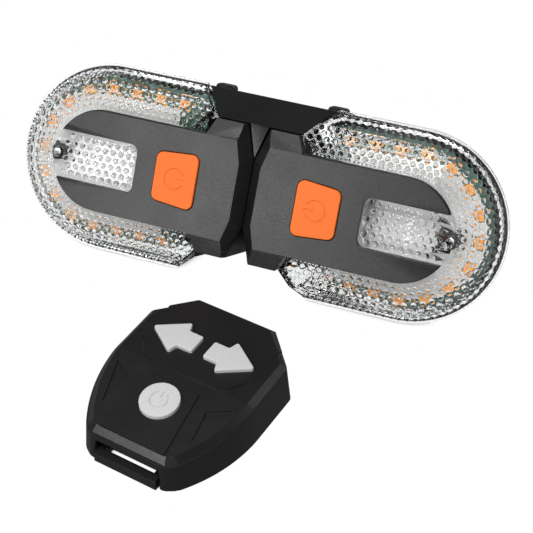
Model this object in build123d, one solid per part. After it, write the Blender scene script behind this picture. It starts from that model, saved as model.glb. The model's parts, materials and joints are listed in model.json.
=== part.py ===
from build123d import *
import math
import os

# Bicycle turn signal light: two lamp pods that slide off a centre bracket, with a hand remote.
# The light is drawn in its own axes: x along the pair, y up the face, z out of the face, with
# the bezel's front at z = 0, so depths are below zero. It is then leaned back on the floor.
# All sizes are in millimetres and degrees.

# Pod outline
pod_arc_x = 49.9          # centre of the pod's rounded outer end
rim_r = 30.1              # outer edge of the clear rim
rim_front = 11.4          # depth of the rim's front
rim_thick = 1.2
lens_wall = 1.5
band_in_r = 16.3          # where the lamp band starts, beside the bezel
band_in_depth = 2.3
band_out_r = 25.7         # outer edge of the lamp band
band_out_depth = 5.0
wall_foot_r = 29.2        # foot of the drafted side wall, at the rim
end_in = (15.85, 16.6)    # slanted inner end of the lens, at the bezel
end_mid_x = 13.6          # at the corner of the block
end_out = (21.5, 29.9)    # at the rim
pod_gap = 0.3             # between the two pods at the centre

# Bezel
bezel_arc_x = 49.0
bezel_r = 15.85
bezel_step = 0.3          # base flange that stands out round the arms
bezel_face_thick = 1.2
bezel_lip = 0.15          # between the bezel and the lens plate under it
block_half = 21.2         # half height of the bezel's block between the lens ends
block_end_x = 13.3        # block corner beside the lens end
face_end_x = 3.45         # inner edge of the front face
face_end_half = 8.86
face_shoulder_x = 5.3
face_corner_x = 4.9
chamfer_depth = 3.3       # depth at which the pods nearly meet
chamfer_half = 10.6
chamfer_shoulder = (2.1, 16.3)
chamfer_corner_x = 3.6
back_half = 18.0          # the same outline at the pod's back
back_shoulder = (0.9, 19.4)
back_corner_x = 2.0
face_bevel = 1.2          # drop of the face's upper and lower margins
block_wall = 1.8
slot_half = 7.7           # half height of the slot window
slot_in_x = 36.8
slot_corner_r = 2.5
window_rise = 1.3         # height of the slot window over the lens plate
fit_gap = 0.2             # clearance between mating plastic pieces
plate_edge_half = 13.9    # the lens plate is open inside this, around the button
plate_edge_x = 36.4

# Rear cover
cover_depth = 20.2        # back of the pod
cover_wall = 1.6
cover_rim_r = 29.2
cover_rim_wall = 2.0
cover_rim_band = 0.8
cover_back_r = 24.8
gasket_inset = 0.5
gasket_w = 0.8
gasket_t = 0.8

# Power button on each pod
button_in_x = 16.1
button_out_x = 29.9
button_in_half = 8.8
button_out_half = 7.55
button_corner_r = 2.2
button_proud = 0.8
button_gap = 0.25
button_flange = 0.9
button_flange_t = 1.0
button_skin = 1.3
button_travel = 0.8
button_spare = 0.05       # left under the stem at full travel
stem_r = 2.2
button_edge_r = 0.35
symbol_r = 3.2            # ring and bar engraved in the button
symbol_w = 0.5
symbol_deep = 0.25
symbol_open = 70.0
symbol_bar = 3.2

# Inside a pod
pcb_depth = 10.6          # top of the board behind the bezel's face
pcb_thick = 1.2
pcb_edge_gap = 1.8        # between the board's edge and the lens wall
pcb_leg_x = 20.0
pcb_in_x = 2.6
pcb_tongue_half = 12.6
lamp_ring_x = 49.0
lamp_ring_r = 22.9
lamp_pitch = 8.38
lamps_each_side = 7
lamp_long = 3.5
lamp_short = 2.8
lamp_high = 1.4
tray_high = 1.6           # white reflector plate on the board
tray_side = 0.4           # between the plate and the lamps beside it
tray_gap = 0.3            # round the lamps that stand in the plate's windows
tray_end = 1.0            # the plate's outer end is this far inside the board's
tray_in_x = 26.5
switch_size = 6.0
switch_body = 3.4
plunger_r = 1.7
plunger_high = 0.35
battery_x = 17.0
battery_len = 26.0
battery_wide = 22.0
battery_gap = 1.5         # between the cell and the cover's floor
board_gap = 0.3
socket_x = 44.0
socket_wide = 9.0
socket_high = 3.3
socket_wall = 0.4
socket_end_gap = 0.2      # the socket ends this far inside the cover's floor
tongue_wide = 6.4
tongue_t = 0.7
tongue_short = 1.5
flap_long = 14.0
flap_wide = 8.0
flap_t = 1.4
flap_recess = 1.0
flap_gap = 0.2
flap_hinge_room = 0.4     # between the hinge side of the flap and its recess
flap_plug = 1.8
flap_pin_r = 0.45
flap_pin_out = 0.6
flap_pin_gap = 0.05
post_x = 64.2             # round screw post that shows through the slot window
post_r = 2.8
post_foot_r = 3.8
screw_bite = 2.0          # thread of the outer screw in the lens
block_screw = (8.2, 15.6)
mid_screw_x = 33.6
screw_r = 1.2
screw_head_r = 2.2
screw_head_t = 1.4
screw_len = 13.0
screw_hole_gap = 0.05
boss_r = 2.6
boss_split = 14.2         # depth at which the block's bosses meet the cover's

# Bracket
band_gap = 0.4            # between the bracket's band and the pods
band_side_gap = 0.5
band_front_depth = 2.7
band_top_y = 29.5
band_top_depth = 12.2
band_back_y = 27.6
wedge_front_depth = 3.3
wedge_tip_y = 11.2
wedge_half = 3.2
wedge_back_tip_y = 18.6
wedge_back_half = 1.6
plate_gap = 0.3           # between the pods' backs and the bracket's plate
plate_thick = 6.0
plate_half_len = 23.0
plate_low_y = -14.0
plate_corner_r = 3.0
rail_neck = 6.0           # T rail on each pod's back
rail_head = 11.0
rail_neck_t = 2.4
rail_head_t = 1.8
rail_from_x = 3.0
rail_to_x = 21.0
rail_gap = 0.3
latch_in_x = 15.6
latch_wide = 6.4
latch_top_y = 29.9
latch_low_y = 20.0
latch_t = 3.6
latch_travel = 1.2
latch_gap = 0.2
tooth_x = (17.0, 20.0)
tooth_y = (21.8, 23.4)
tooth_out = 0.5
channel_gap = 0.3

# Seat post clamp
post_bore_r = 13.6        # for a 27.2 mm seat post
liner_t = 1.5
ring_wall = 3.0
ring_len = 14.0
ring_y = 8.0
ring_stand = 2.0          # between the bracket's back and the ring
split_gap = 3.0
ear_t = 4.0
ear_reach = 10.4
clamp_screw_r = 2.5
clamp_hole_gap = 0.25
clamp_thread_gap = 0.05
clamp_screw_in = 4.4      # screw centre from the ear's end
knob_r = 6.0
knob_t = 5.0
knob_seat_gap = 0.1
knob_notches = 12
knob_notch_r = 0.8
nut_half = 4.0
nut_t = 2.6
nut_gap = 0.1
pad_half_len = 12.0
base_screw_x = 8.0
base_screw_y = 12.0
base_screw_r = 1.5
base_head_r = 2.8
base_head_t = 1.8
base_screw_len = 10.0

# Hand remote, drawn with its floor at z = 0 and the line through its arrow keys at y = 0
remote_from_face = (6.2, -49.9)   # from the light's face centre, along the floor
remote_turn = -11.0
rem_far_half = 13.8
rem_far_y = 19.4
rem_half = 24.6
rem_corner_y = 8.2
rem_side_y = -8.0
rem_curve = (22.4, -24.0)
rem_front_corner = (15.6, -37.6)
rem_nose_half = 12.4
rem_nose_y = -39.6
rem_taper = 5.0
rem_deck_z = 14.2         # the shell's top behind the front slope
rem_slope_y = -11.0
rem_slope = 7.5
rem_wall = 1.8
rem_roof = 1.6
rem_edge = 1.8            # height of the sloped edge round the shell's top
plateau_rise = 0.8
plateau_front = (10.0, -11.9)  # its front corners, from which it widens to the far edge
plateau_turn = (16.0, -8.4)
plateau_side = (18.2, -3.0)
plateau_far_half = 20.4
plateau_taper = 20.0
panel_rise = 0.5
panel_top = (8.4, -15.2)
panel_low = (11.0, -36.6)
facet_out = (19.4, -15.2)   # corners of the sunk facet on each side of the panel
facet_in = (13.2, -18.8)
facet_low = (14.9, -29.4)
facet_deep = 0.5
mouth_half = 10.6         # strap mouths at both ends
mouth_top = 7.2
lip_out = 1.0             # the base's lips stand out past the shell
lip_t = 3.5
strap_slot = 3.2          # strap slots behind the lips
strap_slot_half = 8.2
base_t = 1.8
base_lift = 0.2
key_gap = 0.2
key_proud = 1.0
key_flange = 0.8
key_flange_t = 0.5
key_travel = 0.7
key_spare = 0.05
key_stem_r = 1.5
arrow_tip = 17.4
arrow_head = (7.8, 6.6)
arrow_neck_x = 6.8
arrow_shaft_half = 3.4
arrow_end_x = 1.9
arrow_round = 0.7
power_y = -22.3
power_r = 5.9
power_ring_r = 2.6
power_bar = 2.4
rem_pcb_z = 6.0
rem_pcb_t = 1.2
rem_pcb_half = 14.4
rem_pcb_far_y = 12.0
rem_pcb_waist_y = -20.8
rem_pcb_low_half = 11.3
rem_pcb_low_y = -30.0
rem_switch = 4.5
rem_switch_body = 1.0
rem_plunger = 0.4
arrow_switch_x = 9.0
cell_r = 10.0
cell_t = 3.2
cell_y = -8.0
cell_lift = 0.3
door_r = 12.4
door_gap = 0.25
door_turn = 40.0
door_rim_w = 0.9
door_rim_t = 0.9
lug_out = 1.2
lug_t = 0.8
lug_arc = 24.0
cup_gap = 0.4
cup_wall = 1.0
coin_slot_long = 14.0
coin_slot_w = 1.8
coin_slot_deep = 0.8
seal_r = 0.4
seal_seat = 0.3
clip_t = 0.3
clip_wide = 6.0
pad_long = 14.0
pad_wide = 4.0
pad_t = 1.0
pad_at = (18.6, -10.0)
rem_screw_far = (19.0, 5.5)
rem_screw_near = (15.8, -26.5)
rem_screw_r = 0.9
rem_head_r = 1.7
rem_head_t = 1.0
rem_screw_len = 6.5
rem_boss_r = 2.3

os.makedirs("parts", exist_ok=True)

# Levels that several pieces share
rim_back = rim_front + rim_thick
plate_front = cover_depth + plate_gap
plate_back = plate_front + plate_thick
cover_floor = cover_depth - cover_wall
battery_front = pcb_depth + pcb_thick + board_gap
battery_thick = cover_floor - battery_gap - battery_front
socket_end_depth = cover_floor - socket_end_gap
lamp_end = end_out[0] - end_mid_x
ring_bore_r = post_bore_r + liner_t
ring_r = ring_bore_r + ring_wall
ring_depth = plate_back + ring_stand + ring_r
ring_low_y = ring_y - ring_len / 2
ring_back = ring_depth + ring_r
far = rim_r + 1.0
cut_past = 5.0            # how far a cutting shape runs past the piece it cuts


# Small helpers

def mirror_y(points):
    """The points, then the same ones with y reversed, to close an outline."""
    return points + [(x, -y) for x, y in reversed(points) if y != 0]


def flat(points):
    return make_face(Polyline(*points, close=True))


def raised(shape, low, high, taper=0.0):
    """A flat shape in the x-y plane, raised from one level to another."""
    return extrude(Pos(0, 0, low) * shape, high - low, dir=(0, 0, 1), taper=taper)


def prism(points, low, high):
    return raised(flat(points), low, high)


def ruled(points_a, z_a, points_b, z_b):
    """Straight-sided solid between two outlines with as many points."""
    return loft([Pos(0, 0, z_a) * flat(points_a), Pos(0, 0, z_b) * flat(points_b)], ruled=True)


def block(x_low, x_high, y_low, y_high, z_low, z_high):
    size = Box(x_high - x_low, y_high - y_low, z_high - z_low)
    return Pos((x_low + x_high) / 2, (y_low + y_high) / 2, (z_low + z_high) / 2) * size


def rod(x, y, z_low, z_high, radius):
    return Pos(x, y, (z_low + z_high) / 2) * Cylinder(radius, z_high - z_low)


def half_stadium(profile, arc_x, inner_x=-cut_past):
    """Rounded outer end: the profile (radius, z) is spun half a turn and run inwards."""
    face = Pos(arc_x, 0, 0) * make_face(Polyline(*[(0, r, z) for r, z in profile], close=True))
    spun = revolve(face, Axis((arc_x, 0, 0), (0, 0, 1)), -180)
    run = extrude(face, arc_x - inner_x, dir=(-1, 0, 0))
    return spun + run + mirror(run, about=Plane.XZ)


def stadium(radius, arc_x, x_low, low, high):
    run = block(x_low, arc_x, -radius, radius, low, high)
    return run + (rod(arc_x, 0, low, high, radius) & block(arc_x - 1, far + arc_x, -far, far, low, high))


def power_symbol(ring_r, bar, width, open_angle):
    """Open ring with a bar in its gap, about the origin, opening to +y."""
    ring = Circle(ring_r + width / 2) - Circle(ring_r - width / 2)
    reach = ring_r * 2
    half = math.radians(open_angle / 2)
    notch = flat([(0, 0), (reach * math.sin(half), reach), (-reach * math.sin(half), reach)])
    return (ring - notch) + Pos(0, ring_r + width - bar / 2) * Rectangle(width, bar)


# Outlines of a pod

def end_x(y, inset=0.0):
    """The lens's slanted inner end above the block."""
    return end_mid_x + inset + (y - block_half) * lamp_end / (end_out[1] - block_half)


block_levels = {
    0.0: [(face_end_x, face_end_half), (face_shoulder_x, bezel_r), (face_corner_x, block_half)],
    chamfer_depth: [(pod_gap / 2, chamfer_half), chamfer_shoulder, (chamfer_corner_x, block_half)],
    cover_depth: [(pod_gap / 2, back_half), back_shoulder, (back_corner_x, block_half)],
}


def block_inner_end(depth):
    """The three corners of the block's inner end at a depth."""
    levels = sorted(block_levels)
    low = max(level for level in levels[:-1] if level <= depth)
    high = levels[levels.index(low) + 1]
    share = (depth - low) / (high - low)
    pairs = zip(block_levels[low], block_levels[high])
    return [(a[0] + (b[0] - a[0]) * share, a[1] + (b[1] - a[1]) * share) for a, b in pairs]


def block_outline(depth, inset=0.0):
    """Outline of the block at a depth, or of the hollow inside its walls."""
    (x_a, y_a), (x_b, y_b), (x_c, y_c) = block_inner_end(depth)
    side_x = end_in[0] - fit_gap
    if inset:
        return mirror_y([(x_a + inset, y_a - inset / 2), (x_b + inset, y_b - inset / 2),
                         (x_c + inset, y_c - inset), (block_end_x - inset / 2, y_c - inset),
                         (side_x, plate_edge_half), (end_in[0] + lens_wall, plate_edge_half)])
    return mirror_y([(x_a, y_a), (x_b, y_b), (x_c, y_c), (block_end_x, y_c), (side_x, bezel_r)])


def block_form(depth_a, depth_b, inset=0.0):
    return ruled(block_outline(depth_a, inset), -depth_a, block_outline(depth_b, inset), -depth_b)


def lens_plan():
    """Plan of the lens: open round the button, slanted at its inner ends."""
    return mirror_y([(plate_edge_x, plate_edge_half), (end_in[0] + 0.5, plate_edge_half), end_in,
                     (end_mid_x, block_half), (end_x(far), far), (pod_arc_x + far, far)])


def lens_room():
    """Plan of the space inside the lens's end walls."""
    inner_x = end_in[0] + lens_wall
    return mirror_y([(end_in[0] - 5, plate_edge_half - 1.5), (inner_x, plate_edge_half),
                     (inner_x, end_in[1]), (end_x(block_half, lens_wall * 1.2), block_half),
                     (end_x(far, lens_wall * 1.2), far), (pod_arc_x + far, far)])


def cover_plan():
    """Plan of the cover's lamp part, which runs into its block."""
    return mirror_y([(block_end_x + 1.2, plate_edge_half), (block_end_x + 1.7, end_in[1] - 0.6),
                     (block_end_x - 0.3, block_half), (end_mid_x, block_half),
                     (end_x(far), far), (pod_arc_x + far, far)])


def slot_outline(gap):
    """The slot window, open at its outer end."""
    inner = slot_in_x + gap
    length = pod_arc_x + rim_r - inner
    bar = Pos(inner + length / 2, 0) * Rectangle(length, 2 * (slot_half - gap))
    return fillet(bar.vertices().sort_by(Axis.X)[:2], slot_corner_r - gap)


def button_outline(grow):
    points = mirror_y([(button_in_x - grow, button_in_half + grow),
                       (button_out_x + grow, button_out_half + grow)])
    face = flat(points)
    return fillet(face.vertices(), max(button_corner_r + grow, 0.5))


def button_prism(grow, low, high):
    return raised(button_outline(grow), low, high)


# Where the case screws stand: x, y and depth of the tip
long_tip = cover_depth - screw_head_t - screw_len
post_tip = band_in_depth + lens_wall - screw_bite
post_top = band_in_depth + lens_wall + fit_gap
case_screw_places = [
    (block_screw[0], block_screw[1], long_tip),
    (block_screw[0], -block_screw[1], long_tip),
    (mid_screw_x, 0, long_tip),
    (post_x, 0, post_tip),
]


def screw_hole(x, y, tip, extra=0.4):
    """Thread hole from a screw's tip to the back."""
    return rod(x, y, -cover_depth - 1, -tip + extra, screw_r + screw_hole_gap)


# Pod pieces, drawn for the right pod

lens_outer_profile = [
    (0, -band_in_depth), (band_in_r, -band_in_depth), (band_out_r, -band_out_depth),
    (wall_foot_r, -rim_front), (rim_r, -rim_front), (rim_r, -rim_back), (0, -rim_back),
]
lens_inner_profile = [
    (0, -band_in_depth - lens_wall), (band_in_r, -band_in_depth - lens_wall),
    (band_out_r - lens_wall * 0.7, -band_out_depth - lens_wall),
    (wall_foot_r - lens_wall, -rim_front), (wall_foot_r - lens_wall, -rim_back - 1),
    (0, -rim_back - 1),
]


def make_lens():
    outer = half_stadium(lens_outer_profile, pod_arc_x) & prism(lens_plan(), -rim_back - 2, 1)
    inner = half_stadium(lens_inner_profile, pod_arc_x) & prism(lens_room(), -rim_back - 3, 0)
    foot = -band_in_depth - lens_wall / 2
    window_top = -band_in_depth + window_rise
    window = raised(slot_outline(fit_gap), foot, window_top)
    reach = stadium(band_in_r, bezel_arc_x, slot_in_x, foot, window_top)
    hole = rod(post_x, 0, -rim_back, -post_tip + fit_gap, screw_r + screw_hole_gap)
    return (outer - inner) + (window & reach) - hole


def bezel_arms(radius, low, high):
    arms = stadium(radius, bezel_arc_x, end_in[0] + fit_gap, low, high)
    return arms - raised(slot_outline(0), low - 1, high + 1)


def make_bezel():
    base_low = -band_in_depth + bezel_lip
    join = block(block_end_x - 2, end_in[0] + fit_gap, -bezel_r, bezel_r, base_low, 0)
    shell = block_form(0, chamfer_depth) + block_form(chamfer_depth, rim_back)
    hollow = block_form(block_wall, chamfer_depth, block_wall)
    hollow += block_form(chamfer_depth, rim_back + 1, block_wall)
    bezel = (shell - hollow) + join
    bezel += bezel_arms(bezel_r, -bezel_face_thick, 0)
    bezel += bezel_arms(bezel_r + bezel_step, base_low, -bezel_face_thick)
    drop = face_bevel / (block_half - bezel_r)
    for side in (1, -1):
        margin = make_face(Polyline((0, side * bezel_r, 0), (0, side * (block_half + 1), 0),
                                    (0, side * (block_half + 1), -drop * (block_half + 1 - bezel_r)),
                                    close=True))
        bezel -= extrude(margin, block_end_x + 3, dir=(1, 0, 0))
    bezel -= button_prism(button_gap, -chamfer_depth - 1, 1)
    bezel += rod(block_screw[0], block_screw[1], -boss_split, -block_wall + 0.3, boss_r)
    bezel += rod(block_screw[0], -block_screw[1], -boss_split, -block_wall + 0.3, boss_r)
    bezel += rod(mid_screw_x, 0, -pcb_depth, base_low + 0.3, boss_r)
    for x, y, tip in case_screw_places[:3]:
        bezel -= screw_hole(x, y, tip)
    return bezel


cover_outer_profile = [
    (0, -rim_back), (cover_rim_r, -rim_back), (cover_rim_r, -rim_back - cover_rim_band),
    (cover_back_r, -cover_depth), (0, -cover_depth),
]
cover_inner_profile = [
    (0, -rim_back + 1), (cover_rim_r - cover_rim_wall, -rim_back + 1),
    (cover_rim_r - cover_rim_wall, -rim_back - cover_rim_band),
    (cover_back_r - cover_wall, -cover_floor), (0, -cover_floor),
]


def rim_ring(depth):
    """The gasket's ring in the rim where the cover meets the lens and the block."""
    lamp = Pos(pod_arc_x, 0) * Circle(cover_rim_r)
    lamp += Pos(pod_arc_x / 2, 0) * Rectangle(pod_arc_x, 2 * cover_rim_r)
    outline = (lamp & flat(cover_plan())) + flat(block_outline(rim_back))
    outer = offset(outline, -gasket_inset, kind=Kind.INTERSECTION)
    inner = offset(outline, -gasket_inset - gasket_w, kind=Kind.INTERSECTION)
    return raised(outer - inner, -rim_back - depth, -rim_back)


flap_in_x = socket_x - flap_long / 2
flap_low = cover_depth - flap_recess + fit_gap / 4
flap_axis_depth = flap_low + flap_t / 2
flap_axis_x = flap_in_x + flap_t / 2


def make_cover():
    lamp = half_stadium(cover_outer_profile, pod_arc_x) & prism(cover_plan(), -far, 1)
    lamp_room = half_stadium(cover_inner_profile, pod_arc_x) & prism(lens_room(), -far, 1)
    cover = lamp + block_form(rim_back, cover_depth)
    cover -= lamp_room
    cover -= block_form(rim_back, cover_floor, block_wall)
    cover -= rim_ring(gasket_t)
    for x, y, tip in case_screw_places:
        top = {mid_screw_x: pcb_depth + pcb_thick, post_x: post_top}.get(x, boss_split)
        if x == post_x:
            cover += rod(x, y, -cover_floor - 0.2, -pcb_depth - pcb_thick - fit_gap, post_foot_r)
            cover += rod(x, y, -pcb_depth - pcb_thick - 1, -top, post_r)
        else:
            cover += rod(x, y, -cover_floor - 0.2, -top, boss_r + fit_gap)
        head = tip + screw_len
        cover -= rod(x, y, -cover_depth - 1, 0, screw_r + 2 * screw_hole_gap)
        cover -= rod(x, y, -cover_depth - 1, -head, screw_head_r + fit_gap)
    # Flap recess, its hinge bores and the socket's opening
    recess_in = flap_in_x - flap_hinge_room
    recess_out = flap_in_x + flap_long + flap_gap
    wide = flap_wide / 2 + flap_gap
    cover -= block(recess_in, recess_out, -wide, wide, -cover_depth - 1, -cover_depth + flap_recess)
    bore = Cylinder(flap_pin_r + flap_pin_gap, flap_wide + 2 * flap_pin_out + 2 * flap_gap)
    pin_slot = block(flap_axis_x - flap_pin_r - flap_pin_gap, flap_axis_x + flap_pin_r + flap_pin_gap,
                     -wide - flap_pin_out, wide + flap_pin_out, -cover_depth - 1, -flap_axis_depth)
    cover -= Pos(flap_axis_x, 0, -flap_axis_depth) * Rot(90, 0, 0) * bore
    cover -= pin_slot
    mouth = (socket_wide / 2 + board_gap, socket_high / 2 + board_gap)
    cover -= block(socket_x - mouth[0], socket_x + mouth[0], -mouth[1], mouth[1], -far, -cover_floor + 1)
    # Channel that the latch's tooth runs out through
    cover -= block(-1, tooth_x[1] + channel_gap + 0.1, latch_low_y, latch_low_y + 4, -cover_depth - 1,
                   -cover_depth + tooth_out + channel_gap)
    # T rail that slides into the bracket
    neck_end = cover_depth + rail_neck_t
    cover += block(rail_from_x, rail_to_x, -rail_neck / 2, rail_neck / 2, -neck_end, -cover_depth)
    cover += block(rail_from_x, rail_to_x, -rail_head / 2, rail_head / 2, -neck_end - rail_head_t, -neck_end)
    return cover


def make_button():
    back = -band_in_depth - button_flange_t
    stem_end = -(pcb_depth - switch_body - plunger_high - button_travel - button_spare)
    cap = button_prism(0, back, button_proud)
    cap = fillet(cap.faces().sort_by(Axis.Z)[-1].edges(), button_edge_r)
    flange = button_prism(button_flange, back, -band_in_depth)
    hollow = button_prism(-button_skin, back - 1, button_proud - button_skin)
    stem_x = (button_in_x + button_out_x) / 2
    symbol = power_symbol(symbol_r, symbol_bar, symbol_w, symbol_open)
    cut = Pos(stem_x, 0, 0) * raised(Rot(0, 0, 90) * symbol, button_proud - symbol_deep, button_proud + 1)
    return cap + flange - hollow + rod(stem_x, 0, stem_end, button_proud - button_skin, stem_r) - cut


def lens_room_r(depth):
    """Inner radius of the lens's side wall at a depth."""
    (r_a, z_a), (r_b, z_b) = lens_inner_profile[2:4]
    share = min(1.0, (-depth - z_a) / (z_b - z_a))
    return r_a + (r_b - r_a) * share


pcb_r = lens_room_r(pcb_depth) - pcb_edge_gap


def make_pcb():
    low = -pcb_depth - pcb_thick
    board = stadium(pcb_r, pod_arc_x, pcb_leg_x, low, -pcb_depth)
    board += block(pcb_in_x, pcb_leg_x, -pcb_tongue_half, pcb_tongue_half, low, -pcb_depth)
    board -= rod(mid_screw_x, 0, -far, 0, screw_r + fit_gap)
    board -= rod(post_x, 0, -far, 0, post_r + fit_gap)
    return board


def lamp_place(step):
    """Centre and turn of one lamp chip along the ring."""
    run = step * lamp_pitch
    half_arc = math.pi * lamp_ring_r / 2
    if abs(run) <= half_arc:
        turn = run / lamp_ring_r
        x = lamp_ring_x + lamp_ring_r * math.cos(turn)
        return x, lamp_ring_r * math.sin(turn), math.degrees(turn)
    side = 1 if run > 0 else -1
    return lamp_ring_x - (abs(run) - half_arc), side * lamp_ring_r, side * 90.0


def make_lamps():
    chips = []
    for step in range(-lamps_each_side, lamps_each_side + 1):
        x, y, turn = lamp_place(step)
        body = Box(lamp_short, lamp_long, lamp_high)
        dish = Pos(0, 0, lamp_high / 2) * Cone(lamp_short * 0.28, lamp_short * 0.4, lamp_high * 0.5)
        chips.append(Pos(x, y, -pcb_depth + lamp_high / 2) * Rot(0, 0, turn) * (body - dish))
    return Compound(chips)


def make_tray():
    tray_r = lamp_ring_r - lamp_short / 2 - tray_side
    tray_arc_x = pod_arc_x + pcb_r - tray_end - tray_r
    tray = stadium(tray_r, tray_arc_x, tray_in_x, -pcb_depth, -pcb_depth + tray_high)
    window = Box(lamp_short + 2 * tray_gap, lamp_long + 2 * tray_gap, far)
    for step in range(-lamps_each_side, lamps_each_side + 1):
        x, y, turn = lamp_place(step)
        tray -= Pos(x, y, 0) * Rot(0, 0, turn) * window
    tray -= rod(mid_screw_x, 0, -far, 0, boss_r + fit_gap)
    tray -= rod(post_x, 0, -far, 0, post_r + fit_gap)
    return tray


def make_battery():
    middle = -battery_front - battery_thick / 2
    cell = Pos(battery_x, 0, middle) * Box(battery_len, battery_wide, battery_thick)
    return fillet(cell.edges().filter_by(Axis.Y), battery_thick * 0.3)


def make_switch():
    x = (button_in_x + button_out_x) / 2
    body = Pos(x, 0, -pcb_depth + switch_body / 2) * Box(switch_size, switch_size, switch_body)
    top = -pcb_depth + switch_body
    return body + rod(x, 0, top - 0.1, top + plunger_high, plunger_r)


def make_socket():
    top = -pcb_depth - pcb_thick
    tall = socket_end_depth - pcb_depth - pcb_thick
    outer = RectangleRounded(socket_wide, socket_high, 1.2)
    room = RectangleRounded(socket_wide - 2 * socket_wall, socket_high - 2 * socket_wall, 1.0)
    shell = raised(Pos(socket_x, 0) * outer, top - tall, top)
    shell -= raised(Pos(socket_x, 0) * room, top - tall - 1, top - 1)
    tongue_end = top - tall + tongue_short
    return shell + block(socket_x - tongue_wide / 2, socket_x + tongue_wide / 2, -tongue_t / 2,
                         tongue_t / 2, tongue_end, top - 0.5)


def make_flap():
    low = -flap_low - flap_t
    out = flap_in_x + flap_long
    leaf = block(flap_axis_x, out, -flap_wide / 2, flap_wide / 2, low, -flap_low)
    leaf = fillet(leaf.edges().filter_by(Axis.Z).sort_by(Axis.X)[-2:], flap_wide * 0.2)
    axis_place = Pos(flap_axis_x, 0, -flap_axis_depth) * Rot(90, 0, 0)
    leaf += axis_place * Cylinder(flap_t / 2, flap_wide)
    leaf += axis_place * Cylinder(flap_pin_r, flap_wide + 2 * flap_gap + 2 * flap_pin_out * 0.8)
    plug_x = socket_wide / 2 - socket_wall - board_gap
    plug_y = socket_high / 2 - socket_wall - board_gap / 2
    plug = Pos(socket_x, 0) * RectangleRounded(2 * plug_x, 2 * plug_y, plug_y * 0.7)
    return leaf + raised(plug, -flap_low - flap_t / 2, -flap_low + flap_plug)


def case_screw(x, y, tip):
    head = tip + screw_len
    screw = rod(x, y, -head, -tip, screw_r) + rod(x, y, -head - screw_head_t, -head, screw_head_r)
    cross = Box(screw_head_r * 1.2, 0.6, 1.0) + Box(0.6, screw_head_r * 1.2, 1.0)
    return screw - Pos(x, y, -head - screw_head_t) * cross


def make_case_screws():
    return Compound([case_screw(*place) for place in case_screw_places])


# Bracket pieces

def make_bracket():
    low_y = block_half + band_gap
    band = prism([(-end_x(low_y, -band_side_gap), low_y), (end_x(low_y, -band_side_gap), low_y),
                  (end_x(far, -band_side_gap), far), (-end_x(far, -band_side_gap), far)],
                 -plate_back, 0)
    section = Polyline((0, low_y, -band_front_depth), (0, band_top_y, -band_top_depth),
                       (0, band_back_y, -plate_back), (0, low_y - 3, -plate_back),
                       (0, low_y - 3, -plate_front), (0, low_y, -plate_front), close=True)
    shape = extrude(Pos(-plate_half_len, 0, 0) * make_face(section), 2 * plate_half_len, dir=(1, 0, 0))
    plate = Pos(0, (plate_low_y + low_y) / 2) * Rectangle(2 * plate_half_len, low_y - plate_low_y)
    plate = fillet(plate.vertices().sort_by(Axis.Y)[:2], plate_corner_r)
    bracket = (band & shape) + raised(plate, -plate_back, -plate_front)
    back_band = block(-plate_half_len, plate_half_len, low_y - 1, far, -plate_back, -plate_front)
    bracket += back_band & shape
    wedge_y = low_y + 0.5
    wedge_front = [(0, wedge_tip_y), (wedge_half, wedge_y), (-wedge_half, wedge_y)]
    wedge_back = [(0, wedge_back_tip_y), (wedge_back_half, wedge_y), (-wedge_back_half, wedge_y)]
    bracket += ruled(wedge_front, -wedge_front_depth, wedge_back, -plate_front - 0.5)
    # T slots for the rails, from a web in the middle out to both ends
    neck_end = cover_depth + rail_neck_t - rail_gap
    head_end = cover_depth + rail_neck_t + rail_head_t + rail_gap
    for side in (1, -1):
        run = sorted((side * (rail_from_x - rail_gap), side * (plate_half_len + 1)))
        neck = rail_neck / 2 + rail_gap
        head = rail_head / 2 + rail_gap
        bracket -= block(*run, -neck, neck, -neck_end - 1, -plate_front + 1)
        bracket -= block(*run, -head, head, -head_end, -neck_end)
        pocket_x = sorted((side * (latch_in_x - latch_gap), side * (latch_in_x + latch_wide + latch_gap)))
        bracket -= block(*pocket_x, latch_low_y - latch_travel - latch_gap, far,
                         -plate_front - latch_t - 2 * latch_gap, -cover_depth)
    for x in (base_screw_x, -base_screw_x):
        bracket -= rod(x, base_screw_y, -plate_back - 1, 0, base_screw_r + clamp_thread_gap)
        bracket -= rod(x, base_screw_y, -plate_front - base_head_t - fit_gap, 0, base_head_r + fit_gap)
    return bracket


def make_latch():
    front = -plate_front - latch_gap
    body = block(latch_in_x, latch_in_x + latch_wide, latch_low_y, latch_top_y, front - latch_t, front)
    body = fillet(body.edges().filter_by(Axis.Z).sort_by(Axis.Y)[-2:], latch_wide * 0.2)
    tooth = block(*tooth_x, *tooth_y, front - 0.5, -cover_depth + tooth_out)
    return body + tooth


def clamp_ring_axis(radius, length=ring_len):
    return Pos(0, ring_y, -ring_depth) * Rot(90, 0, 0) * Cylinder(radius, length)


ear_x = ring_r + ear_reach
clamp_screw_x = ear_x - clamp_screw_in
knob_seat = ring_depth + split_gap / 2 + ear_t
nut_seat = ring_depth - split_gap / 2 - ear_t


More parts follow.
